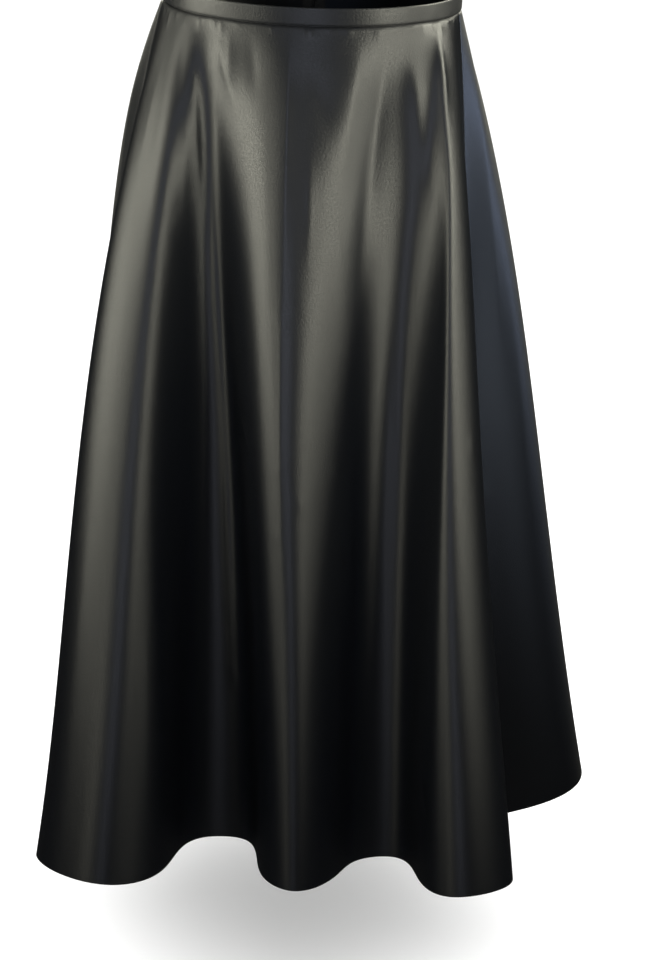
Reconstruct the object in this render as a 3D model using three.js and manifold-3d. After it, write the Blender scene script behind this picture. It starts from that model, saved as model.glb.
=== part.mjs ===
// A long flared satin skirt with a narrow waistband, filled out to its worn shape and hollow inside.
// The front faces -Y, the centre back with its concealed zip faces +Y, +X is the right of someone
// looking at the front, and z = 0 is the waist seam. Sizes are in millimetres.
import * as THREE from 'three';
import { mergeVertices } from 'three/addons/utils/BufferGeometryUtils.js';
import Module from 'manifold-3d';

const WAIST_HALF_WIDTH = 154; // the waist is an ellipse, seen from above
const WAIST_HALF_DEPTH = 112;
const SKIRT_LENGTH = 900; // from the waist seam to the hem, measured down the cloth
const CLOTH = 1.5; // wall of the skirt panels
const SEAM_GAP = 0.3; // between neighbouring pieces
const BAND_HEIGHT = 18;
const BAND_PROUD = 0.6; // the folded band stands out from the panels by this much
const BAND_EDGE = 0.5; // chamfer that stands for the band's folded edges
const TAPE_WIDTH = 24;
const TAPE_THICK = 1;
const TAPE_BELOW_TOP = 2; // the tape stops this far below the band's top edge
const PIVOT_BELOW_TOP = 5; // the zip is closed, so its pull hangs from just below the same edge
const SMOOTHING_PASSES = 60; // enough for the fold curves' slopes to settle

// One row for each fold line of the cloth, going round from the left seam over the front.
// turn: where the line leaves the waist, in degrees, 0 at +X and -90 at the centre front.
// x, y: where it meets the hem, seen from above. belly: how far the hips push it out, most of all
// a quarter of the way down. spread: how far it bows out halfway down, or in when negative.
const FOLDS = [
  { name: 'left seam', turn: -172, x: -181, y: -156, belly: 21, spread: 6 },
  { name: 'left edge', turn: -159, x: -259, y: -292, belly: 15, spread: 13 },
  { name: 'first fold', turn: -151, x: -185, y: -359, belly: 16, spread: 5 },
  { name: 'first flank', turn: -141, x: -127, y: -293, belly: 22, spread: 6 },
  { name: 'first dip', turn: -130, x: -80, y: -178, belly: 5, spread: -4 },
  { name: 'first turn', turn: -127, x: -48, y: -180, belly: 7, spread: -6 },
  { name: 'middle shoulder', turn: -106, x: -17, y: -278, belly: 15, spread: 8 },
  { name: 'middle fold', turn: -96, x: 12, y: -308, belly: 13, spread: 7 },
  { name: 'middle flank', turn: -75, x: 60, y: -262, belly: 11, spread: -5 },
  { name: 'second dip', turn: -62, x: 87, y: -218, belly: 7, spread: -10 },
  { name: 'second turn', turn: -53, x: 118, y: -211, belly: 5, spread: -8 },
  { name: 'third shoulder', turn: -37, x: 150, y: -295, belly: 15, spread: 3 },
  { name: 'third fold', turn: -33, x: 183, y: -348, belly: 14, spread: -3 },
  { name: 'turned edge', turn: -26, x: 240, y: -322, belly: 9, spread: -5 },
  { name: 'right seam', turn: -11, x: 199, y: -146, belly: 7, spread: -3 },
  { name: 'side slope', turn: 3, x: 281, y: -109, belly: 14, spread: -2 },
  { name: 'side fold', turn: 11, x: 337, y: -65, belly: 12, spread: 3 },
  { name: 'side return', turn: 24, x: 308, y: 48, belly: 21, spread: 6 },
  { name: 'side dip', turn: 40, x: 211, y: 119, belly: 15, spread: -7 },
  { name: 'back right fold', turn: 50, x: 225, y: 240, belly: 14, spread: 0 },
  { name: 'back right turn', turn: 64, x: 145, y: 285, belly: 14, spread: 0 },
  { name: 'centre back', turn: 90, x: 15, y: 205, belly: 12, spread: 0 },
  { name: 'back left fold', turn: 110, x: -85, y: 305, belly: 14, spread: 0 },
  { name: 'back left turn', turn: 122, x: -170, y: 280, belly: 14, spread: 0 },
  { name: 'back left dip', turn: 138, x: -141, y: 160, belly: 21, spread: -8 },
  { name: 'left back fold', turn: 155, x: -236, y: 129, belly: 14, spread: 4 },
  { name: 'left back turn', turn: 174, x: -263, y: -9, belly: 26, spread: -3 },
];
const COLUMN_WIDTH = 27; // width of a facet at the hem
const ROWS = 18; // facets from waist to hem
const ROW_CROWDING = 1.3; // above 1 the rows are closer together near the waist
const ZIP_ROWS = 6; // the zip ends at this row, about 215 mm below the waist seam

// A place round the skirt is t, the distance in millimetres from the left seam round the hem,
// taken straight from fold line to fold line. Each fold line's t is its knot.
const foldCount = FOLDS.length;
const spans = FOLDS.map((fold, i) => {
  const next = FOLDS[(i + 1) % foldCount];
  return Math.hypot(next.x - fold.x, next.y - fold.y);
});
const knots = spans.reduce((sums, span) => [...sums, sums.at(-1) + span], [0]);
const roundTrip = knots.at(-1);
const knotOf = (name) => knots[FOLDS.findIndex((fold) => fold.name === name)];

// The closed smooth curve through one column of the table: slopes[i] is its slope at row i, the
// one that keeps the curve's bend continuous there.
function smoothColumn(values) {
  const at = (list, i) => list[(i + foldCount) % foldCount];
  let slopes = values.map(() => 0);
  for (let pass = 0; pass < SMOOTHING_PASSES; pass += 1) {
    slopes = values.map((value, i) => {
      const before = at(spans, i - 1);
      const after = spans[i];
      const pull = 3 * (value - at(values, i - 1)) / before ** 2
        + 3 * (at(values, i + 1) - value) / after ** 2;
      return (pull - at(slopes, i - 1) / before - at(slopes, i + 1) / after)
        / (2 / before + 2 / after);
    });
  }
  return (t) => {
    const turn = ((t % roundTrip) + roundTrip) % roundTrip;
    const i = Math.min(foldCount - 1, knots.findLastIndex((knot) => knot <= turn));
    const span = spans[i];
    const u = (turn - knots[i]) / span;
    return (2 * u ** 3 - 3 * u ** 2 + 1) * values[i] + (3 * u ** 2 - 2 * u ** 3) * at(values, i + 1)
      + (u ** 3 - 2 * u ** 2 + u) * span * slopes[i] + (u ** 3 - u ** 2) * span * at(slopes, i + 1);
  };
}

const steadyTurn = (t) => 360 * t / roundTrip;
const turnDrift = smoothColumn(FOLDS.map((fold, i) => fold.turn - steadyTurn(knots[i])));
const hemX = smoothColumn(FOLDS.map((fold) => fold.x));
const hemY = smoothColumn(FOLDS.map((fold) => fold.y));
const bellyAt = smoothColumn(FOLDS.map((fold) => fold.belly));
const spreadAt = smoothColumn(FOLDS.map((fold) => fold.spread));

// The plan place of a thread at a share of its length: a straight line from waist to hem, bowed
// by its belly and its spread.
function threadPlan(t, share) {
  const turn = THREE.MathUtils.degToRad(steadyTurn(t) + turnDrift(t));
  const waist = new THREE.Vector2(
    WAIST_HALF_WIDTH * Math.cos(turn), WAIST_HALF_DEPTH * Math.sin(turn));
  const outward = new THREE.Vector2(
    Math.cos(turn) / WAIST_HALF_WIDTH, Math.sin(turn) / WAIST_HALF_DEPTH).normalize();
  const bow = bellyAt(t) * 256 / 27 * share * (1 - share) ** 3
    + spreadAt(t) * 16 * share ** 2 * (1 - share) ** 2;
  return waist.lerp(new THREE.Vector2(hemX(t), hemY(t)), share).addScaledVector(outward, bow);
}

// The cloth doesn't stretch, so a thread that runs outwards ends higher than one that hangs.
function outerFace(t, share) {
  const steps = 40;
  const step = share / steps;
  let z = -SEAM_GAP / 2;
  let before = threadPlan(t, 0);
  for (let i = 1; i <= steps; i += 1) {
    const next = threadPlan(t, i * step);
    z -= Math.sqrt((SKIRT_LENGTH * step) ** 2 - next.distanceToSquared(before));
    before = next;
  }
  return new THREE.Vector3(before.x, before.y, z);
}

// A point of the cloth's outer face, moved out by a distance, or in when that is negative, and
// along the cloth's level direction by another.
function clothPoint(t, share, out = 0, along = 0) {
  const reach = 0.003;
  const level = outerFace(t + 1, share).sub(outerFace(t - 1, share)).normalize();
  const down = outerFace(t, Math.min(1, share + reach))
    .sub(outerFace(t, Math.max(0, share - reach)));
  const normal = down.cross(level).normalize();
  return outerFace(t, share).addScaledVector(normal, out).addScaledVector(level, along);
}

// A closed wall from two grids of points, outer and inner, each an array of rows.
function wallGeometry(outer, inner) {
  const rows = outer.length;
  const columns = outer[0].length;
  const positions = [];
  [outer, inner].forEach((grid) => grid.forEach((row) => row.forEach((point) => {
    positions.push(point.x, point.y, point.z);
  })));
  const at = (side, row, column) => side * rows * columns + row * columns + column;
  const faces = [];
  const quad = (a, b, c, d) => faces.push(a, b, c, a, c, d);
  for (let row = 0; row < rows - 1; row += 1) {
    for (let column = 0; column < columns - 1; column += 1) {
      quad(at(0, row, column), at(0, row + 1, column),
        at(0, row + 1, column + 1), at(0, row, column + 1));
      quad(at(1, row, column), at(1, row, column + 1),
        at(1, row + 1, column + 1), at(1, row + 1, column));
    }
  }
  for (let row = 0; row < rows - 1; row += 1) {
    const end = columns - 1;
    quad(at(0, row, 0), at(1, row, 0), at(1, row + 1, 0), at(0, row + 1, 0));
    quad(at(0, row, end), at(0, row + 1, end), at(1, row + 1, end), at(1, row, end));
  }
  for (let column = 0; column < columns - 1; column += 1) {
    const end = rows - 1;
    quad(at(0, 0, column), at(0, 0, column + 1), at(1, 0, column + 1), at(1, 0, column));
    quad(at(0, end, column), at(1, end, column),
      at(1, end, column + 1), at(0, end, column + 1));
  }
  const geometry = new THREE.BufferGeometry();
  geometry.setAttribute('position', new THREE.Float32BufferAttribute(positions, 3));
  geometry.setIndex(faces);
  return geometry;
}

const satin = new THREE.MeshStandardMaterial({ color: 0x14140f, roughness: 0.38, metalness: 0 });
const tapeCloth = new THREE.MeshStandardMaterial({ color: 0x0f0f10, roughness: 0.8, metalness: 0 });
const enamel = new THREE.MeshStandardMaterial({ color: 0x121212, roughness: 0.35, metalness: 0.4 });

// The share of the way down of each row of facets, from the waist seam to the hem.
const rowShares = Array.from({ length: ROWS + 1 }, (_, i) => (i / ROWS) ** ROW_CROWDING);

// A panel runs from one named fold line to another, and stops half a seam gap short of each.
function panel(name, from, to) {
  const first = knotOf(from);
  const length = (knotOf(to) - first + roundTrip) % roundTrip;
  const columns = Math.round(length / COLUMN_WIDTH);
  const grid = (out) => rowShares.map((share) => Array.from({ length: columns + 1 }, (_, i) => {
    const inset = (i === 0 ? 1 : 0) - (i === columns ? 1 : 0);
    return clothPoint(first + length * i / columns, share, out, inset * SEAM_GAP / 2);
  }));
  const mesh = new THREE.Mesh(wallGeometry(grid(0), grid(-CLOTH)), satin);
  mesh.name = name;
  return mesh;
}

// A point beside the waist ring at a height, level with it and moved out by a distance.
function waistPoint(t, height, out, along = 0) {
  const level = outerFace(t + 1, 0).sub(outerFace(t - 1, 0)).normalize();
  const outward = new THREE.Vector3(level.y, -level.x, 0);
  return outerFace(t, 0).setZ(height).addScaledVector(outward, out)
    .addScaledVector(level, along);
}

// The waistband is a strip that follows the waist ring and opens at the centre back. Its section
// is given as [out, up] corners, outer face first, so that the strip closes on itself.
function waistband() {
  const section = [
    [BAND_PROUD - BAND_EDGE, BAND_HEIGHT], [BAND_PROUD, BAND_HEIGHT - BAND_EDGE],
    [BAND_PROUD, BAND_EDGE], [BAND_PROUD - BAND_EDGE, SEAM_GAP / 2],
    [-CLOTH, SEAM_GAP / 2], [-CLOTH, BAND_HEIGHT],
  ];
  const open = knotOf('centre back');
  const columns = Math.round(roundTrip / COLUMN_WIDTH);
  const positions = [];
  for (let column = 0; column <= columns; column += 1) {
    const t = open + roundTrip * column / columns;
    const inset = (column === 0 ? 1 : 0) - (column === columns ? 1 : 0);
    section.forEach(([out, up]) => {
      positions.push(...waistPoint(t, up, out, inset * SEAM_GAP / 2).toArray());
    });
  }
  const corners = section.length;
  const faces = [];
  for (let column = 0; column < columns; column += 1) {
    for (let corner = 0; corner < corners; corner += 1) {
      const a = column * corners + corner;
      const b = column * corners + (corner + 1) % corners;
      faces.push(a, b, b + corners, a, b + corners, a + corners);
    }
  }
  for (let corner = 1; corner < corners - 1; corner += 1) {
    const far = columns * corners;
    faces.push(0, corner + 1, corner, far, far + corner, far + corner + 1);
  }
  const geometry = new THREE.BufferGeometry();
  geometry.setAttribute('position', new THREE.Float32BufferAttribute(positions, 3));
  geometry.setIndex(faces);
  const mesh = new THREE.Mesh(geometry, satin);
  mesh.name = 'waistband';
  return mesh;
}

// The zip's tape lies behind the centre back seam, from near the band's top to the zip's foot.
// It is made from the facets of the two panels beside the seam, moved in.
function zipTape() {
  const middle = knotOf('centre back');
  const panelStep = (from, to) => {
    const length = (knotOf(to) - knotOf(from) + roundTrip) % roundTrip;
    return length / Math.round(length / COLUMN_WIDTH);
  };
  const steps = [-panelStep('right seam', 'centre back'), panelStep('centre back', 'left seam')];
  const face = -CLOTH - SEAM_GAP;
  const tapeRow = (share, out) => {
    const seam = clothPoint(middle, share, out);
    const [right, left] = steps.map((step) => {
      const facetEnd = clothPoint(middle + step, share, out);
      return facetEnd.sub(seam).setLength(TAPE_WIDTH / 2).add(seam);
    });
    return [right, right.clone().lerp(seam, 0.5), seam, left.clone().lerp(seam, 0.5), left];
  };
  const grid = (out) => {
    const rows = rowShares.slice(0, ZIP_ROWS + 1).map((share) => tapeRow(share, out));
    const top = rows[0].map((point) => point.clone().setZ(BAND_HEIGHT - TAPE_BELOW_TOP));
    return [top, ...rows];
  };
  const mesh = new THREE.Mesh(wallGeometry(grid(face), grid(face - TAPE_THICK)), tapeCloth);
  mesh.name = 'zip_tape';
  return mesh;
}

// Small hardware of the zip, in its own frame: x across, y out of the cloth, z up, with the
// pull's pivot at the origin.
const PLATE = { width: 5.6, length: 9.2, thick: 1.6, corner: 1.4 };
const BAIL = { width: 1.4, length: 6, inside: 2.2, bar: 0.9, gap: 3.2, corner: 1, sunk: 0.4 };
const PULL = { width: 4.4, foot: 6, length: 17.5, thick: 1.1, eyeWidth: 2.3, eyeLength: 4 };
const PIVOT_HEIGHT = BAIL.inside / 2; // above the slider's plate

// A shape drawn in x and z, given a thickness in y between two heights.
function plate(shape, low, high, curveSegments) {
  const geometry = new THREE.ExtrudeGeometry(
    shape, { depth: high - low, bevelEnabled: false, curveSegments });
  geometry.rotateX(Math.PI / 2);
  geometry.translate(0, high, 0);
  return geometry;
}

function roundedRectangle(width, length, radius) {
  const shape = new THREE.Shape();
  const x = width / 2 - radius;
  const z = length / 2 - radius;
  shape.absarc(x, z, radius, 0, Math.PI / 2);
  shape.absarc(-x, z, radius, Math.PI / 2, Math.PI);
  shape.absarc(-x, -z, radius, Math.PI, Math.PI * 1.5);
  shape.absarc(x, -z, radius, Math.PI * 1.5, Math.PI * 2);
  return shape;
}

const wasm = await Module();
wasm.setup();

function toSolid(source) {
  const bare = source.clone();
  bare.deleteAttribute('normal');
  bare.deleteAttribute('uv');
  const merged = mergeVertices(bare, 1e-4);
  return new wasm.Manifold(new wasm.Mesh({
    numProp: 3,
    vertProperties: new Float32Array(merged.attributes.position.array),
    triVerts: new Uint32Array(merged.index.array),
  }));
}

function fromSolid(solid) {
  const mesh = solid.getMesh();
  const geometry = new THREE.BufferGeometry();
  geometry.setAttribute('position', new THREE.Float32BufferAttribute(mesh.vertProperties, 3));
  geometry.setIndex(Array.from(mesh.triVerts));
  return geometry;
}

// The slider's plate with the bail that holds the pull: an arch along the zip.
function slider() {
  const base = plate(roundedRectangle(PLATE.width, PLATE.length, PLATE.corner),
    -PIVOT_HEIGHT - PLATE.thick, -PIVOT_HEIGHT, 5);
  const side = BAIL.length / 2;
  const top = BAIL.inside + BAIL.bar;
  const eyeFoot = 0.05; // the eye starts just above the plate, so the two meet in one flat face
  const arch = new THREE.Shape();
  arch.moveTo(-side, -BAIL.sunk); // the bail's feet are sunk into the plate
  arch.lineTo(side, -BAIL.sunk);
  arch.lineTo(side, top - BAIL.corner);
  arch.absarc(side - BAIL.corner, top - BAIL.corner, BAIL.corner, 0, Math.PI / 2);
  arch.absarc(BAIL.corner - side, top - BAIL.corner, BAIL.corner, Math.PI / 2, Math.PI);
  const eye = new THREE.Path();
  eye.moveTo(-BAIL.gap / 2, eyeFoot);
  eye.lineTo(-BAIL.gap / 2, BAIL.inside);
  eye.lineTo(BAIL.gap / 2, BAIL.inside);
  eye.lineTo(BAIL.gap / 2, eyeFoot);
  arch.holes.push(eye);
  const bail = new THREE.ExtrudeGeometry(
    arch, { depth: BAIL.width, bevelEnabled: false, curveSegments: 4 });
  bail.translate(0, 0, -BAIL.width / 2);
  bail.rotateY(-Math.PI / 2);
  bail.translate(0, -PIVOT_HEIGHT, 0);
  const mesh = new THREE.Mesh(fromSolid(toSolid(base).add(toSolid(bail))), enamel);
  mesh.name = 'zip_slider';
  return mesh;
}

// The pull: a flat drop with an eye that the bail passes through. It hangs from the pivot.
function pull() {
  const half = PULL.thick / 2;
  const foot = PULL.foot / 2;
  const shape = new THREE.Shape();
  shape.moveTo(-PULL.width / 2, half);
  shape.lineTo(-PULL.width / 2, -PULL.eyeLength);
  shape.lineTo(-foot, foot - PULL.length);
  shape.absarc(0, foot - PULL.length, foot, Math.PI, 2 * Math.PI);
  shape.lineTo(PULL.width / 2, -PULL.eyeLength);
  shape.lineTo(PULL.width / 2, half);
  const eye = new THREE.Path();
  eye.moveTo(-PULL.eyeWidth / 2, -half);
  eye.lineTo(PULL.eyeWidth / 2, -half);
  eye.lineTo(PULL.eyeWidth / 2, -PULL.eyeLength - half);
  eye.lineTo(-PULL.eyeWidth / 2, -PULL.eyeLength - half);
  shape.holes.push(eye);
  const mesh = new THREE.Mesh(fromSolid(toSolid(plate(shape, -half, half, 8))), enamel);
  mesh.name = 'zip_pull';
  return mesh;
}

const skirt = new THREE.Group();
skirt.add(panel('front_panel', 'left seam', 'right seam'));
skirt.add(panel('back_right_panel', 'right seam', 'centre back'));
skirt.add(panel('back_left_panel', 'centre back', 'left seam'));
skirt.add(waistband());
skirt.add(zipTape());

const zip = new THREE.Group();
const bandFace = WAIST_HALF_DEPTH + BAND_PROUD;
zip.position.set(0, bandFace + SEAM_GAP + PLATE.thick + PIVOT_HEIGHT, BAND_HEIGHT - PIVOT_BELOW_TOP);
zip.add(slider());
zip.add(pull());
skirt.add(zip);

export default skirt;
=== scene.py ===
# %% [markdown]
# # A long black satin circle skirt
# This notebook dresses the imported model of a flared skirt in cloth. The model comes in first and
# never moves: it says where each piece is, and every piece made here rides on one of its bodies.
# All sizes below are in metres, and a size written in millimetres is multiplied by MM.

# %% Load the frame
import math

import bpy
import numpy as np
from mathutils import Matrix


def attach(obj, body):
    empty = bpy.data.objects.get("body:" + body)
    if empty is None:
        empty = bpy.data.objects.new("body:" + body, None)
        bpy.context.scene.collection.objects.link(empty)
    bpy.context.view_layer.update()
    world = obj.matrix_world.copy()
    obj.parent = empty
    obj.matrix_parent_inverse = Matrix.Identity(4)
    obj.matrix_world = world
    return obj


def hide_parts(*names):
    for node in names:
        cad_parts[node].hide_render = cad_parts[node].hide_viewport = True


MM = 0.001
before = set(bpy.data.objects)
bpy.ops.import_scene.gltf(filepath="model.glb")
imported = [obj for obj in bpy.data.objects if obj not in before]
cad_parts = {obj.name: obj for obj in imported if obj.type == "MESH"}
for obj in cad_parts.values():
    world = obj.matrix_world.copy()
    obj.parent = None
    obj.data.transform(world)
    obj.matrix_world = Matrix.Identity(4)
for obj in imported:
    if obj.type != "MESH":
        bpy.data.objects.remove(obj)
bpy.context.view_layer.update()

# %% [markdown]
# ## The camera
# The camera stands in front of the skirt, half a metre above its waist, and looks down at it with
# a slight tilt of the head. A long lens would flatten the folds, so this one is about 87 mm.

# %% Place the camera
CAMERA_PLACE = (0.0343, -2.40, 0.50)
LOOKING_DOWN = 23.32
HEAD_TILT = 2.18
LENS = 87.4

camera_data = bpy.data.cameras.new("camera")
camera_data.lens = LENS
camera_data.sensor_width = 36
camera = bpy.data.objects.new("camera", camera_data)
bpy.context.collection.objects.link(camera)
camera.matrix_world = (
    Matrix.Translation(CAMERA_PLACE)
    @ Matrix.Rotation(math.radians(90 - LOOKING_DOWN), 4, "X")
    @ Matrix.Rotation(math.radians(HEAD_TILT), 4, "Z")
)
bpy.context.scene.camera = camera
print("camera at", CAMERA_PLACE, "with a lens of", LENS, "mm")

# %% [markdown]
# ## How the cloth hangs
# A circle skirt is cut as part of a ring, so its hem is far longer than its waist and the extra
# width falls in deep soft folds. The folds could come from a cloth simulation, but then they would
# land where they like. Here they are given in a table instead: one row for each fold line, which says
# where the line leaves the waist and where it meets the hem. A smooth closed curve joins the rows,
# and between waist and hem every thread runs straight, bowed out a little by the hips.

# %% Sizes of the skirt and its fold lines
WAIST_HALF_WIDTH = 154 * MM
WAIST_HALF_DEPTH = 112 * MM
SKIRT_LENGTH = 900 * MM
SEAM_GAP = 0.3 * MM

# turn: where the line leaves the waist, in degrees, 0 at +X and -90 at the centre front.
# x, y: where it meets the hem, seen from above. belly: how far the hips push it out, which is
# most a quarter of the way down. spread: how far it bows out halfway down, or in when negative.
# In mm.
FOLDS = [
    # name, turn, x, y, belly, spread
    ("left seam", -172, -181, -156, 21, 6),
    ("left edge", -159, -259, -292, 15, 13),
    ("first fold", -151, -185, -359, 16, 5),
    ("first flank", -141, -127, -293, 22, 6),
    ("first dip", -130, -80, -178, 5, -4),
    ("first turn", -127, -48, -180, 7, -6),
    ("middle shoulder", -106, -17, -278, 15, 8),
    ("middle fold", -96, 12, -308, 13, 7),
    ("middle flank", -75, 60, -262, 11, -5),
    ("second dip", -62, 87, -218, 7, -10),
    ("second turn", -53, 118, -211, 5, -8),
    ("third shoulder", -37, 150, -295, 15, 3),
    ("third fold", -33, 183, -348, 14, -3),
    ("turned edge", -26, 240, -322, 9, -5),
    ("right seam", -11, 199, -146, 7, -3),
    ("side slope", 3, 281, -109, 14, -2),
    ("side fold", 11, 337, -65, 12, 3),
    ("side return", 24, 308, 48, 21, 6),
    ("side dip", 40, 211, 119, 15, -7),
    ("back right fold", 50, 225, 240, 14, 0),
    ("back right turn", 64, 145, 285, 14, 0),
    ("centre back", 90, 15, 205, 12, 0),
    ("back left fold", 110, -85, 305, 14, 0),
    ("back left turn", 122, -170, 280, 14, 0),
    ("back left dip", 138, -141, 160, 21, -8),
    ("left back fold", 155, -236, 129, 14, 4),
    ("left back turn", 174, -263, -9, 26, -3),
]
fold_names = [row[0] for row in FOLDS]
fold_turn, fold_x, fold_y, fold_belly, fold_spread = np.array([row[1:] for row in FOLDS], float).T
spans = np.hypot(np.roll(fold_x, -1) - fold_x, np.roll(fold_y, -1) - fold_y)
knots = np.concatenate([[0], np.cumsum(spans)])
round_trip = knots[-1]


def knot(name):
    """A fold line's place: the way from the left seam round the hem to it, in mm."""
    return knots[fold_names.index(name)]


print("the hem runs", round(round_trip), "mm from fold line to fold line")

# %% The smooth closed curve through a column of the table
def smooth_column(values):
    """A function of place whose bend is continuous at every row."""
    before, after = np.roll(spans, 1), spans
    pull = (
        3 * (values - np.roll(values, 1)) / before**2
        + 3 * (np.roll(values, -1) - values) / after**2
    )
    slopes = np.zeros(len(values))
    for _ in range(60):
        sides = np.roll(slopes, 1) / before + np.roll(slopes, -1) / after
        slopes = (pull - sides) / (2 / before + 2 / after)

    def column(place):
        place = np.mod(place, round_trip)
        row = np.clip(np.searchsorted(knots, place, side="right") - 1, 0, len(values) - 1)
        after_row = (row + 1) % len(values)
        u = (place - knots[row]) / spans[row]
        return (
            (2 * u**3 - 3 * u**2 + 1) * values[row]
            + (3 * u**2 - 2 * u**3) * values[after_row]
            + (u**3 - 2 * u**2 + u) * spans[row] * slopes[row]
            + (u**3 - u**2) * spans[row] * slopes[after_row]
        )

    return column


turn_drift = smooth_column(fold_turn - 360 * knots[:-1] / round_trip)
hem_x = smooth_column(fold_x)
hem_y = smooth_column(fold_y)
belly = smooth_column(fold_belly)
spread = smooth_column(fold_spread)

# %% Where the cloth is
def thread_plan(place, share):
    """Seen from above, the points of the threads at these places and shares of their length."""
    turn = np.radians(360 * place / round_trip + turn_drift(place))
    waist = np.stack([WAIST_HALF_WIDTH * np.cos(turn), WAIST_HALF_DEPTH * np.sin(turn)], -1)
    outward = np.stack([np.cos(turn) / WAIST_HALF_WIDTH, np.sin(turn) / WAIST_HALF_DEPTH], -1)
    outward /= np.linalg.norm(outward, axis=-1, keepdims=True)
    hem = np.stack([hem_x(place), hem_y(place)], -1) * MM
    share = share[:, None, None]
    bow = (belly(place) * MM)[:, None] * 256 / 27 * share * (1 - share) ** 3
    bow = bow + (spread(place) * MM)[:, None] * 16 * share**2 * (1 - share) ** 2
    return waist + (hem - waist) * share + outward * bow


def hang(place, share):
    """Points of the cloth's outer face. It can't stretch, so a thread that runs outwards ends
    higher than one that hangs straight down."""
    fine = np.linspace(0, 1, 361)
    plan = thread_plan(place, fine)
    level = np.linalg.norm(np.diff(plan, axis=0), axis=2)
    drop = np.sqrt((SKIRT_LENGTH * np.diff(fine))[:, None] ** 2 - level**2)
    height = -SEAM_GAP / 2 - np.concatenate([np.zeros((1, len(place))), np.cumsum(drop, 0)])
    z = np.stack([np.interp(share, fine, column) for column in height.T], -1)
    return np.concatenate([thread_plan(place, share), z[..., None]], -1)


def outward_of(place, share):
    """The outward direction of the cloth at the same points."""
    reach = 0.003
    level = hang(place + 1, share) - hang(place - 1, share)
    down = hang(place, np.minimum(1, share + reach)) - hang(place, np.maximum(0, share - reach))
    normal = np.cross(down, level)
    return normal / np.linalg.norm(normal, axis=-1, keepdims=True)


hem_line = hang(np.linspace(0, round_trip, 2000), np.array([1.0]))[0]
waist_line = hang(np.linspace(0, round_trip, 2000), np.array([0.0]))[0]
hem_length = np.linalg.norm(np.diff(hem_line, axis=0), axis=1).sum()
waist_length = np.linalg.norm(np.diff(waist_line, axis=0), axis=1).sum()
CUT_INNER_RADIUS = SKIRT_LENGTH * waist_length / (hem_length - waist_length)
cut_angle = waist_length / CUT_INNER_RADIUS
print(
    f"waist {waist_length:.3f} m, hem {hem_length:.3f} m: a cut of {math.degrees(cut_angle):.0f}"
    f" degrees, {CUT_INNER_RADIUS:.3f} m to the waist"
)

# %% [markdown]
# ## Creases
# Satin keeps what happened to it: a pressed line down the centre front, puckers where the cloth is
# eased into the waistband, and small dents where it was folded or gripped. They could be painted
# as bump, but they are a few millimetres high and turn the light, so each is real relief: a soft
# ridge or trough along a line from one point of the cloth to another.

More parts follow.
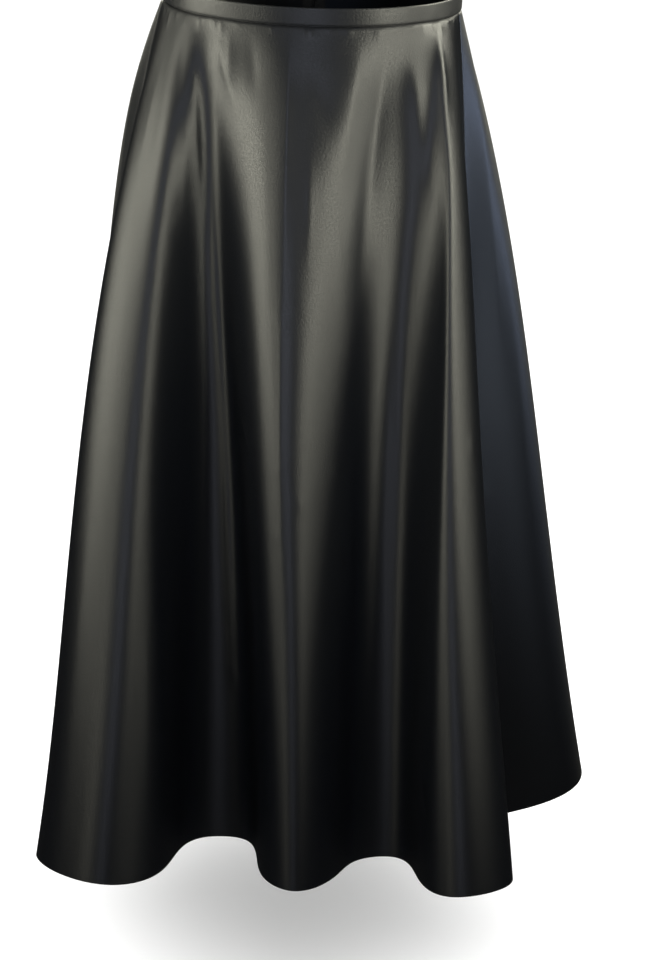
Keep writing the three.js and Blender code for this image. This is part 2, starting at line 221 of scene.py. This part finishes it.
# %% The creases
# place: mm round the hem as above. down: mm below the waist seam. The widths, to the left and to
# the right of the line as seen from outside, and the lift are in mm. A lift below 0 is a trough.
# rounding: the radius of its top. peak: the share of its run where it is highest.
CREASES = [
    # place, down, place, down, left width, right width, lift, rounding, peak
    (641, 2, 635, 330, 30, 12, 3.6, 0.8, 0.25),  # the pressed centre line
    (634, 230, 631, 500, 10, 8, 1.0, 0.6, 0.45),
    (632, 340, 634, 650, 8, 9, 1.3, 0.6, 0.35),
    (622, 284, 642, 304, 4, 4, 0.9, 0.8, 0.5),  # nicks across it
    (646, 436, 624, 452, 4, 4, 0.9, 0.8, 0.5),
    (620, 508, 640, 526, 5, 4, 0.8, 0.8, 0.5),
    (728, 6, 699, 165, 24, 13, 3.0, 4, 0.3),  # upper front
    (668, 30, 690, 120, 14, 16, -1.2, 5, 0.5),
    (667, 104, 664, 250, 4, 8, 1.0, 1, 0.5),
    (700, 150, 706, 320, 9, 14, 1.4, 3, 0.4),
    (534, 4, 546, 70, 8, 8, 2.2, 2, 0.5),
    (574, 2, 592, 84, 9, 10, -1.8, 3, 0.45),
    (368, 3, 466, 240, 17, 10, 4.4, 4, 0.4),  # the first dip and the line along its floor
    (478, 130, 492, 480, 10, 5, 3.2, 0.8, 0.45),
    (489, 330, 500, 800, 10, 5, 3.2, 0.8, 0.4),
    (792, 250, 797, 800, 9, 8, 1.6, 1.2, 0.35),
    (500, 3, 566, 104, 12, 9, 2.6, 2, 0.45),
    (372, 30, 402, 240, 12, 10, 1.5, 3, 0.4),
    (338, 10, 352, 130, 9, 10, -2.0, 3, 0.4),
    (238, 40, 214, 200, 10, 12, 1.6, 3, 0.4),
    (770, 3, 728, 330, 18, 18, -7.0, 4, 0.35),  # the second dip, pinched in under the band
    (808, 3, 842, 200, 15, 22, 6.0, 6, 0.35),
    (842, 40, 866, 230, 14, 12, -1.6, 4, 0.5),
    (902, 8, 918, 120, 12, 16, 1.6, 4, 0.4),
    (534, 396, 582, 456, 8, 5, -1.4, 1.5, 0.5),  # small marks lower down
    (688, 438, 716, 466, 5, 5, 0.8, 0.8, 0.5),
    (650, 468, 664, 494, 4, 5, 0.7, 0.8, 0.5),
    (990, 422, 998, 448, 4, 4, 0.8, 0.8, 0.5),
    (495, 682, 501, 732, 4, 6, 1.1, 0.8, 0.4),
    (868, 768, 914, 838, 4, 5, 1.3, 0.7, 0.5),
    (872, 820, 944, 836, 5, 5, 0.6, 0.8, 0.6),
    (300, 560, 316, 860, 16, 14, 1.5, 4, 0.6),
    (208, 420, 200, 800, 14, 16, 1.2, 4, 0.5),
    (726, 380, 742, 720, 12, 14, 1.2, 4, 0.5),
    (1268, 60, 1290, 420, 16, 12, 1.8, 3, 0.3),  # right side
    (1330, 180, 1322, 640, 12, 16, 1.4, 4, 0.5),
    (1238, 500, 1246, 540, 5, 5, 0.8, 0.8, 0.5),
    (1440, 20, 1462, 240, 10, 14, 1.8, 3, 0.3),
    (1560, 90, 1548, 380, 14, 12, -1.4, 4, 0.4),
    (1650, 30, 1680, 200, 12, 12, 1.8, 3, 0.3),  # back
    (1742, 380, 1770, 440, 6, 6, 1.0, 1, 0.5),
    (1856, 60, 1840, 420, 14, 14, 1.2, 4, 0.4),
    (1900, 300, 1928, 360, 6, 5, 1.0, 1, 0.5),
    (2044, 30, 2030, 300, 12, 14, 1.6, 3, 0.3),
    (2120, 480, 2090, 540, 6, 6, 1.0, 1, 0.5),
    (2232, 70, 2246, 330, 12, 14, -1.6, 4, 0.4),
    (2368, 20, 2352, 260, 12, 12, 1.8, 3, 0.3),
    (2470, 340, 2500, 400, 5, 6, 0.9, 1, 0.5),
    (2600, 40, 2622, 330, 14, 12, 1.6, 3, 0.3),
    (2660, 600, 2684, 660, 6, 6, 0.9, 1, 0.5),
]
# Puckers where the cloth is eased into the band: place, length down the cloth, lift, in mm.
PUCKERS = [
    (40, 16, 0.5), (96, 22, 0.6), (150, 12, 0.4), (196, 28, 0.7), (262, 14, 0.5), (318, 20, 0.5),
    (398, 18, 0.6), (427, 10, 0.4), (489, 16, 0.9), (514, 22, 0.9), (552, 9, 0.4), (612, 12, 0.5),
    (664, 15, 1.0), (686, 8, 0.4), (708, 12, 0.8), (756, 20, 0.6), (812, 10, 0.5), (838, 17, 0.5),
    (890, 12, 0.4), (954, 24, 0.6), (1004, 11, 0.4), (1080, 18, 0.5), (1150, 22, 0.6),
    (1232, 14, 0.5), (1311, 20, 0.6), (1398, 12, 0.5), (1500, 26, 0.7), (1604, 15, 0.5),
    (1690, 20, 0.6), (1780, 12, 0.4), (1862, 24, 0.6), (1924, 14, 0.6), (1990, 16, 0.6),
    (2062, 22, 0.5), (2160, 12, 0.5), (2262, 20, 0.6), (2330, 14, 0.4), (2440, 26, 0.6),
    (2530, 12, 0.5), (2640, 18, 0.6),
]
for place, length, lift in PUCKERS:
    CREASES.append((place, 0.5, place + 3, length, 2.6, 3.4, lift, 0.7, 0.3))


def smoothstep(x):
    x = np.clip(x, 0, 1)
    return x * x * (3 - 2 * x)


def relief(place, share, stretch):
    """How far the creases lift the cloth, in metres. stretch is mm of cloth to mm of place."""
    down = (share * SKIRT_LENGTH / MM)[:, None]
    lift_all = np.zeros((len(share), len(place)))
    for upper, top, lower, foot, left, right, lift, rounding, peak in CREASES:
        along = (down - top) / (foot - top)
        line = upper + (lower - upper) * np.clip(along, 0, 1)
        away = np.mod(place[None, :] - line + round_trip / 2, round_trip) - round_trip / 2
        across = np.sqrt((away * stretch) ** 2 + rounding**2) - rounding
        profile = np.exp(-across / np.where(away < 0, left, right))
        lift_all += lift * profile * smoothstep(along / peak) * smoothstep((1 - along) / (1 - peak))
    return lift_all * MM


print(len(CREASES), "creases, of which", len(PUCKERS), "are puckers at the waist")

# %% [markdown]
# ## The three panels
# The front is one piece and the back is two, joined at the centre back where the zip is. A panel
# starts as the flat grid that the cloth is on the cutting table. Its points are then carried to
# where they hang, its two side edges and its top are tucked in as at a pressed seam, its hem is
# turned up inside, and Solidify gives it the thickness of heavy satin.

# %% Spacing of a panel's rows and columns
CLOTH_THICKNESS = 0.7 * MM
HEM_TURNING = 12  # mm
SEAM_ROUNDING = [(0.0, 1.0), (0.35, 0.45), (0.9, 0.12), (1.8, 0.0)]  # mm from the seam, mm in
WAIST_ROUNDING = [(0.0, 1.2), (0.5, 0.8), (1.2, 0.38), (2.1, 0.12), (3.2, 0.0)]
HEM_EDGE = [(899.6, 0.0), (900.0, 0.35), (900.0, 0.75), (899.6, 1.1)]  # mm down, mm in


def crowded(start, end, count, spots):
    """count places from start to end, closer together near the spots (place, reach, gain)."""
    fine = np.linspace(start, end, 4000)
    density = np.ones_like(fine)
    for spot, reach, gain in spots:
        density += gain * np.exp(-(((fine - spot) / reach) ** 2))
    total = np.concatenate([[0], np.cumsum((density[1:] + density[:-1]) / 2)])
    return np.interp(np.linspace(0, total[-1], count), total, fine)


def panel_rows():
    """Each row's way down the cloth and how far it is tucked in, in mm, from waist to hem."""
    plain = [(down, 0.0) for down in crowded(4.5, 898.4, 150, [(0, 45, 3.5)])]
    turned_up = [(900 - back, 1.25) for back in (1.5, 4, 8, HEM_TURNING)]
    return np.array(WAIST_ROUNDING + plain + HEM_EDGE + turned_up).T


def panel_columns(start, end, count, spots):
    """Each column's place and how far it is tucked in, in mm, from one seam to the other."""
    tuck_in = [(start + 0.02 + away, tuck) for away, tuck in SEAM_ROUNDING]
    tuck_out = [(end - 0.02 - away, tuck) for away, tuck in reversed(SEAM_ROUNDING)]
    plain = [(place, 0.0) for place in crowded(start + 6, end - 6, count, spots)]
    return np.array(tuck_in + plain + tuck_out).T


row_down, row_tuck = panel_rows()
print("a panel has", len(row_down), "rows")

# %% Make one panel
def flat_cut(place, down, middle):
    """Where a point lies on the flat cloth, with the panel's middle line pointing down."""
    angle = cut_angle * (place - middle) / round_trip
    radius = CUT_INNER_RADIUS + down * MM
    return np.stack([radius * np.sin(angle), -radius * np.cos(angle)], -1)


def grid_piece(name, points, flat_places):
    """A grid whose points are carried to points[row, column], with its flat places as UVs."""
    rows, columns = points.shape[:2]
    bpy.ops.object.select_all(action="DESELECT")
    bpy.ops.mesh.primitive_grid_add(
        x_subdivisions=columns - 1, y_subdivisions=rows - 1, size=1, calc_uvs=True
    )
    piece = bpy.context.object
    piece.name = name
    mesh = piece.data
    flat = np.zeros(len(mesh.vertices) * 3)
    mesh.vertices.foreach_get("co", flat)
    flat = flat.reshape(-1, 3)
    column = np.rint((flat[:, 0] + 0.5) * (columns - 1)).astype(int)
    row = np.rint((0.5 - flat[:, 1]) * (rows - 1)).astype(int)
    mesh.vertices.foreach_set("co", points[row, column].ravel())
    corner = np.zeros(len(mesh.loops), int)
    mesh.loops.foreach_get("vertex_index", corner)
    mesh.uv_layers.active.data.foreach_set("uv", flat_places[row, column][corner].ravel())
    mesh.update()
    return piece


def thicken(piece, thickness):
    """Gives a sheet its thickness on the inner side, which takes the second material."""
    wall = piece.modifiers.new("wall", "SOLIDIFY")
    wall.thickness = thickness
    wall.offset = -1
    wall.material_offset = 1
    wall.material_offset_rim = 0
    bpy.ops.object.modifier_apply(modifier=wall.name)
    bpy.ops.object.shade_smooth_by_angle(angle=math.radians(50))


def make_panel(name, seam_from, seam_to, count, spots=()):
    start = knot(seam_from)
    end = start + (knot(seam_to) - start) % round_trip
    column_place, column_tuck = panel_columns(start, end, count, spots)
    share = np.minimum(row_down / 900, 1)
    outer = hang(column_place, share)
    normal = outward_of(column_place, share)
    stretch = np.linalg.norm(
        hang(column_place + 1, share) - hang(column_place - 1, share), axis=-1
    ) / (2 * MM)
    tuck = np.maximum(row_tuck[:, None], column_tuck[None, :]) * MM
    points = outer + normal * (relief(column_place, share, stretch) - tuck)[..., None]
    cut = flat_cut(column_place[None, :], row_down[:, None], (start + end) / 2)

    panel = grid_piece(name, points, cut)
    thicken(panel, CLOTH_THICKNESS)

    return panel


front = make_panel("front_panel_cloth", "left seam", "right seam", 290, [(636, 22, 2)])
back_right = make_panel("back_right_panel_cloth", "right seam", "centre back", 190)
back_left = make_panel("back_left_panel_cloth", "centre back", "left seam", 190)

# %% Where the panels belong
for panel, node in (
    (front, "front_panel"), (back_right, "back_right_panel"), (back_left, "back_left_panel"),
):
    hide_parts(node)
    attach(panel, "skirt")

# %% [markdown]
# ## The waistband
# The band is a long strip folded in half along its top edge, with both raw edges turned in at the
# seam. It is made that way here: one grid that runs up the inside, over the fold and down the
# outside, then given the cloth's thickness. Its lower edge rolls in, which leaves the dark groove
# of the seam under it. It opens at the centre back, over the zip.

# %% Make the band
BAND_THICKNESS = 0.6 * MM
# The strip's section, as mm out from the waist ring and mm above the seam.
BAND_SECTION = [
    (-2.1, -2.1), (-2.5, -1.6), (-2.6, -0.4), (-2.3, 0.8), (-1.8, 1.8), (-1.5, 3), (-1.5, 5), (-1.5, 9), (-1.5, 13),
    (-1.5, 16.6), (-1.42, 17.2), (-1.15, 17.7), (-0.75, 17.95), (-0.3, 18.0), (0.15, 17.85),
    (0.45, 17.5), (0.58, 16.9), (0.6, 16), (0.62, 14), (0.66, 12), (0.68, 10), (0.68, 8),
    (0.66, 6), (0.63, 4), (0.6, 2.6), (0.5, 1.7), (0.25, 1.0), (-0.15, 0.5), (-0.6, 0.3),
]


def ring_points(place, out, up):
    """Points beside the waist ring, moved out and up by these many mm, a row for each pair."""
    ring = thread_plan(place, np.array([0.0]))[0]
    turn = np.arctan2(ring[:, 1] / WAIST_HALF_DEPTH, ring[:, 0] / WAIST_HALF_WIDTH)
    outward = np.stack([np.cos(turn) / WAIST_HALF_WIDTH, np.sin(turn) / WAIST_HALF_DEPTH], -1)
    outward /= np.linalg.norm(outward, axis=-1, keepdims=True)
    level = ring[None] + outward[None] * (np.asarray(out) * MM)[..., None]
    height = np.broadcast_to((np.asarray(up) * MM)[:, None], level.shape[:2])
    return np.concatenate([level, height[..., None]], -1)


opening = knot("centre back")
HALF_GAP = 0.15 / 0.31  # mm of place that leave half a seam gap at the waist
band_place = np.linspace(opening + HALF_GAP, opening + round_trip - HALF_GAP, 420)
section_out, section_up = np.array(BAND_SECTION).T
# The outside isn't quite flat: it bows a little between the stitches that hold its inside.
swell = 0.1 * np.sin(band_place / 61) + 0.07 * np.sin(band_place / 23 + 1.3)
middle_of_face = np.where(section_out > 0.55, np.sin(np.pi * np.clip(section_up / 18, 0, 1)), 0)
band_out = section_out[:, None] + middle_of_face[:, None] * swell[None, :]
band_points = ring_points(band_place, band_out, section_up)
band_way = np.concatenate([[0], np.cumsum(np.hypot(np.diff(section_out), np.diff(section_up)))])
band_along = (band_place - opening) * waist_length / round_trip
band_flat = np.stack(np.broadcast_arrays(band_along[None, :], -(band_way * MM)[:, None]), -1)
band = grid_piece("waistband_cloth", band_points, band_flat)
thicken(band, BAND_THICKNESS)
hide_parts("waistband")
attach(band, "skirt")
print(f"waistband: a strip {waist_length:.3f} x {band_way[-1] * MM:.3f} m, {len(band.data.polygons)} faces")

# %% [markdown]
# ## The concealed zip
# Two woven tapes lie behind the centre back seam, each sewn to one panel, and a nylon coil runs
# between them. On the real zip the coil is one bent thread. At this size a ribbed cord with one
# rib for each turn looks the same and needs far fewer faces than the thread would.

# %% Make the tapes and the coil
ZIP_LENGTH = 214  # mm below the waist seam
ZIP_TOP = 16  # mm above it
TAPE_DEPTH = 1.95  # mm from the cloth's outer face to the tape
TAPE_THICKNESS = 0.45 * MM
COIL_PITCH = 1.2  # mm from one turn to the next


def zip_points(along, depth, height):
    """Points behind the centre back seam. along and depth: mm across and in, a row for each
    height, which is mm above the waist seam, or below it when negative."""
    rows = []
    for i, level in enumerate(height):
        share = np.array([max(0.0, -level / 900)])
        beside = hang(np.array([opening - 1, opening + 1]), share)[0]
        cloth_to_place = 2 * MM / np.linalg.norm(beside[1] - beside[0])
        place = opening + along[i] * cloth_to_place
        if level >= 0:
            rows.append(ring_points(place, -depth[i][None, :], [level])[0])
        else:
            seam = hang(place, share)[0]
            rows.append(seam - outward_of(place, share)[0] * (depth[i] * MM)[:, None])
    return np.array(rows)


tape_height = np.linspace(ZIP_TOP, -ZIP_LENGTH, 60)
tapes = []
for side in (-1, 1):
    across = np.sort(side * np.linspace(1.2, 12, 7))
    along = np.tile(across, (len(tape_height), 1))
    flat = np.stack(np.broadcast_arrays(across[None] * MM, tape_height[:, None] * MM), -1)
    tape = grid_piece("zip_tape_half", zip_points(along, along * 0 + TAPE_DEPTH, tape_height), flat)
    thicken(tape, TAPE_THICKNESS)
    tapes.append(tape)
bpy.ops.object.select_all(action="DESELECT")
for tape in tapes:
    tape.select_set(True)
bpy.context.view_layer.objects.active = tapes[0]
bpy.ops.object.join()
zip_tape = tapes[0]
zip_tape.name = "zip_tape_cloth"
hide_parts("zip_tape")
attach(zip_tape, "skirt")

RIB = [0.86, 1.0, 1.0, 0.86]  # the coil's girth through one turn
coil_height = np.arange(ZIP_TOP - 3, 4 - ZIP_LENGTH, -COIL_PITCH / len(RIB))
girth = np.resize(RIB, len(coil_height))
girth[[0, -1]] = 0.02
angle = np.linspace(0, -2 * math.pi, 11)
coil_along = 1.5 * girth[:, None] * np.cos(angle)[None]
coil_depth = TAPE_DEPTH + 1.2 + 0.75 * girth[:, None] * np.sin(angle)[None]
coil_flat = np.stack(np.broadcast_arrays(angle[None] * MM, coil_height[:, None] * MM), -1)
coil = grid_piece("zip_coil", zip_points(coil_along, coil_depth, coil_height), coil_flat)
bpy.ops.object.mode_set(mode="EDIT")
bpy.ops.mesh.select_all(action="SELECT")
bpy.ops.mesh.remove_doubles(threshold=0.00001)
bpy.ops.mesh.normals_make_consistent(inside=False)
bpy.ops.object.mode_set(mode="OBJECT")
bpy.ops.object.shade_smooth_by_angle(angle=math.radians(60))
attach(coil, "skirt")
print("zip tape", len(zip_tape.data.polygons), "faces, coil", len(coil.data.polygons), "faces")

# %% [markdown]
# ## Materials

# %% A colour and a node
def linear(hex_colour):
    """An sRGB hex colour as the linear RGBA that shaders work in."""
    parts = [int(hex_colour[i : i + 2], 16) / 255 for i in (1, 3, 5)]
    return [p / 12.92 if p <= 0.04045 else ((p + 0.055) / 1.055) ** 2.4 for p in parts] + [1]


def add_node(material, kind, inputs=(), **settings):
    """Adds a node with its settings, and links or fills its inputs."""
    node = material.node_tree.nodes.new(kind)
    for key, value in settings.items():
        setattr(node, key, value)
    for socket, value in dict(inputs).items():
        if isinstance(value, bpy.types.NodeSocket):
            material.node_tree.links.new(value, node.inputs[socket])
        else:
            node.inputs[socket].default_value = value
    return node


def new_material(name):
    material = bpy.data.materials.new(name)
    material.use_nodes = True
    return material, material.node_tree.nodes["Principled BSDF"]


# %% Satin
def make_satin(name, colour, lighter, roughness, bump):
    material, surface = new_material(name)
    place = add_node(material, "ShaderNodeUVMap", uv_map="UVMap")
    stretched = add_node(material, "ShaderNodeMapping", {"Vector": place.outputs["UV"],
        "Scale": (1 / (1.1 * MM), 1 / (2.6 * MM), 1)})
    slub = add_node(material, "ShaderNodeTexNoise", {"Vector": stretched.outputs["Vector"],
        "Scale": 1, "Detail": 3, "Roughness": 0.6})
    rough = add_node(material, "ShaderNodeMapRange", {"Value": slub.outputs["Fac"],
        "From Min": 0.3, "From Max": 0.7, "To Min": roughness - 0.06, "To Max": roughness + 0.06})
    mix = add_node(material, "ShaderNodeMix", {"Factor": slub.outputs["Fac"]}, data_type="RGBA")
    mix.inputs["A"].default_value = linear(colour)
    mix.inputs["B"].default_value = linear(lighter)
    height = add_node(material, "ShaderNodeBump", {"Height": slub.outputs["Fac"],
        "Strength": 1, "Distance": bump})
    links = material.node_tree.links
    links.new(mix.outputs["Result"], surface.inputs["Base Color"])
    links.new(rough.outputs["Result"], surface.inputs["Roughness"])
    links.new(height.outputs["Normal"], surface.inputs["Normal"])
    surface.inputs["Specular IOR Level"].default_value = 0.5
    surface.inputs["Anisotropic"].default_value = 0.7
    surface.inputs["Anisotropic Rotation"].default_value = 0.25
    grain = add_node(material, "ShaderNodeTangent", direction_type="UV_MAP", uv_map="UVMap")
    links.new(grain.outputs["Tangent"], surface.inputs["Tangent"])
    return material


satin_face = make_satin("polyester_satin_face", "#05060a", "#080a0d", 0.45, 0.2 * MM)
satin_back = make_satin("polyester_satin_back", "#0b0b0a", "#12120f", 0.62, 0.03 * MM)
for piece in (front, back_right, back_left, band):
    piece.data.materials.append(satin_face)
    piece.data.materials.append(satin_back)

# %% Woven tape, nylon and enamel
def make_tape():
    material, surface = new_material("woven_polyester_tape")
    place = add_node(material, "ShaderNodeUVMap", uv_map="UVMap")
    twill = add_node(material, "ShaderNodeMapping", {"Vector": place.outputs["UV"],
        "Rotation": (0, 0, math.radians(35)), "Scale": (1 / MM, 1 / MM, 1)})
    rib = add_node(material, "ShaderNodeTexWave", {"Vector": twill.outputs["Vector"],
        "Scale": 0.42, "Distortion": 0.6, "Detail": 2})
    mix = add_node(material, "ShaderNodeMix", {"Factor": rib.outputs["Fac"]}, data_type="RGBA")
    mix.inputs["A"].default_value = linear("#0a0a0b")
    mix.inputs["B"].default_value = linear("#191919")
    bump = add_node(material, "ShaderNodeBump", {"Height": rib.outputs["Fac"],
        "Strength": 0.8, "Distance": 0.12 * MM})
    material.node_tree.links.new(mix.outputs["Result"], surface.inputs["Base Color"])
    material.node_tree.links.new(bump.outputs["Normal"], surface.inputs["Normal"])
    surface.inputs["Roughness"].default_value = 0.75
    return material


def make_smooth(name, colour, worn, roughness, metallic, coat):
    """A smooth black finish with a little handling wear, in Object coordinates."""
    material, surface = new_material(name)
    place = add_node(material, "ShaderNodeTexCoord")
    marks = add_node(material, "ShaderNodeTexNoise", {"Vector": place.outputs["Object"],
        "Scale": 420, "Detail": 4, "Roughness": 0.65})
    rough = add_node(material, "ShaderNodeMapRange", {"Value": marks.outputs["Fac"],
        "From Min": 0.35, "From Max": 0.7, "To Min": roughness - 0.06, "To Max": roughness + 0.1})
    mix = add_node(material, "ShaderNodeMix", {"Factor": marks.outputs["Fac"]}, data_type="RGBA")
    mix.inputs["A"].default_value = linear(colour)
    mix.inputs["B"].default_value = linear(worn)
    material.node_tree.links.new(mix.outputs["Result"], surface.inputs["Base Color"])
    material.node_tree.links.new(rough.outputs["Result"], surface.inputs["Roughness"])
    surface.inputs["Metallic"].default_value = metallic
    surface.inputs["Coat Weight"].default_value = coat
    surface.inputs["Coat Roughness"].default_value = 0.12
    return material


zip_tape.data.materials.append(make_tape())
zip_tape.data.materials.append(zip_tape.data.materials[0])
coil.data.materials.append(make_smooth("black_nylon", "#0b0b0c", "#141415", 0.42, 0.0, 0.0))
enamel = make_smooth("black_enamel_on_zinc", "#070707", "#101011", 0.3, 0.0, 0.7)
for name in ("zip_slider", "zip_pull"):
    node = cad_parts[name]
    node.data.materials.clear()
    node.data.materials.append(enamel)
print("materials:", sorted(material.name for material in bpy.data.materials))

# %% [markdown]
# ## The studio

# %% Floor
bpy.ops.object.select_all(action="DESELECT")
bpy.ops.mesh.primitive_plane_add(size=60, location=(0, 0, -1.10))
floor = bpy.context.object
floor.name = "floor"
floor_paint, floor_surface = new_material("floor_paint")
floor_surface.inputs["Base Color"].default_value = linear("#fbfbfa")
floor_surface.inputs["Roughness"].default_value = 0.9
floor.data.materials.append(floor_paint)
floor.visible_glossy = False

# %% Lights
def area_light(name, azimuth, height, distance, aim_height, width, tall, power, colour, spread):
    """A soft box at an azimuth, 0 in front and 90 on the right, and a height angle, in degrees.
    It points at the skirt's axis. spread is how wide its grid lets the light out."""
    data = bpy.data.lights.new(name, "AREA")
    data.shape = "RECTANGLE"
    data.size, data.size_y = width, tall
    data.energy = power
    data.color = linear(colour)[:3]
    data.spread = math.radians(spread)
    light = bpy.data.objects.new(name, data)
    bpy.context.collection.objects.link(light)
    light.matrix_world = (
        Matrix.Translation((0, 0, aim_height))
        @ Matrix.Rotation(math.radians(azimuth), 4, "Z")
        @ Matrix.Rotation(math.radians(90 - height), 4, "X")
        @ Matrix.Translation((0, 0, distance))
    )
    return light


# The room the skirt hangs in is lit from many sides near the height of its waist, so the light
# fades down the skirt. Narrow grids on the boxes do that here.
DAYLIGHT, SHADE, BLUE_SHADE = "#fffdea", "#deecff", "#c3d6fb"
# name, azimuth, height, aim height, width, tall, power, grid, colour
FRONT_LIGHTS = [
    ("front", 0, 10, -0.2, 0.8, 1.1, 1.0, 44, "#e8eeff"),
    ("front_left", -38, 5, -0.15, 0.8, 1.1, 1.45, 42, DAYLIGHT),
    ("left", -62, 0, 0.05, 0.8, 0.8, 2.2, 34, DAYLIGHT),
    ("left_far", -82, 0, 0.05, 0.8, 0.8, 2.4, 38, DAYLIGHT),
    ("right_near", 44, 0, 0.05, 0.8, 0.8, 2.1, 34, DAYLIGHT),
    ("right", 62, 5, 0.05, 0.8, 0.8, 1.1, 36, DAYLIGHT),
    ("right_far", 95, 25, 0.05, 0.8, 0.8, 6.0, 36, DAYLIGHT),
]
SIDE_LIGHTS = [
    ("side", 50, 22, 0.12, 0.8, 0.8, 4.4, 32, SHADE),
    ("side_rim", 95, 0, 0.05, 0.8, 0.8, 0.42, 36, SHADE),
    ("side_far_rim", 115, 0, 0.05, 0.8, 0.8, 0.6, 36, BLUE_SHADE),
]
BACK_LIGHTS = [
    ("back_left", 150, 30, -0.1, 1.0, 1.2, 7, 60, DAYLIGHT),
    ("back_right", -150, 30, -0.1, 1.0, 1.2, 7, 60, DAYLIGHT),
]
DISTANCE = 2.4


def light_group(rows, pieces):
    """Lights that fall on these pieces only, as screens between them would arrange."""
    lit = bpy.data.collections.new("lit_by_" + rows[0][0])
    for piece in pieces:
        lit.objects.link(piece)
    for name, azimuth, height, aim, width, tall, power, grid, colour in rows:
        lamp = area_light(name, azimuth, height, DISTANCE, aim, width, tall, power, colour, grid)
        lamp.light_linking.receiver_collection = lit


light_group(FRONT_LIGHTS, [front, back_left, band, zip_tape, coil])
light_group(SIDE_LIGHTS, [back_right])
light_group([("floor_fill", 0, 80, -1.1, 4, 4, 110, 180, "#ffffff")], [floor])
light_group(BACK_LIGHTS, [back_left, back_right, band, zip_tape, coil]
            + [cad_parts[name] for name in ("zip_slider", "zip_pull")])

world = bpy.data.worlds.new("studio")
bpy.context.scene.world = world
world.use_nodes = True
world_nodes, world_links = world.node_tree.nodes, world.node_tree.links
sky = world_nodes["Background"]
ray = world_nodes.new("ShaderNodeLightPath")
level = world_nodes.new("ShaderNodeMapRange")
level.inputs["To Min"].default_value = 1.15
level.inputs["To Max"].default_value = 0.02
world_links.new(ray.outputs["Is Glossy Ray"], level.inputs["Value"])
world_links.new(level.outputs["Result"], sky.inputs["Strength"])
sky.inputs["Color"].default_value = (1, 1, 1, 1)

bpy.context.scene.view_settings.view_transform = "Standard"
